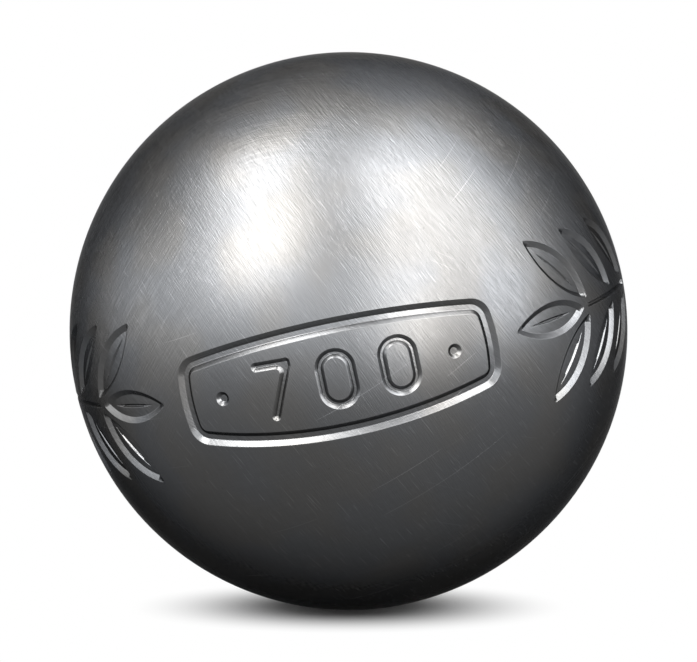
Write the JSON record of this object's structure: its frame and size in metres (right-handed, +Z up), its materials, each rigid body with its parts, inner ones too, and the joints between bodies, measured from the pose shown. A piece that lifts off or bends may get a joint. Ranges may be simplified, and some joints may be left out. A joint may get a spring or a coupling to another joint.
{
  "type": "petanque boule",
  "caption": "Hollow steel petanque boule: a satin ball of welded half shells, engraved on one band with a bordered weight mark between laurel sprigs.",
  "frame": {"origin": "centre of the ball", "axes": "+Z up as the ball lies on the ground, -Y towards the engraved border, +X to the right of someone who reads it"},
  "size_m": [0.074, 0.074, 0.074],
  "materials": {
    "shell_steel": "satin",
    "weld_steel": "satin"
  },
  "bodies": {
    "root": {"front_half_shell": "shell_steel", "rear_half_shell": "shell_steel", "weld_bead": "weld_steel"}
  },
  "joints": []
}
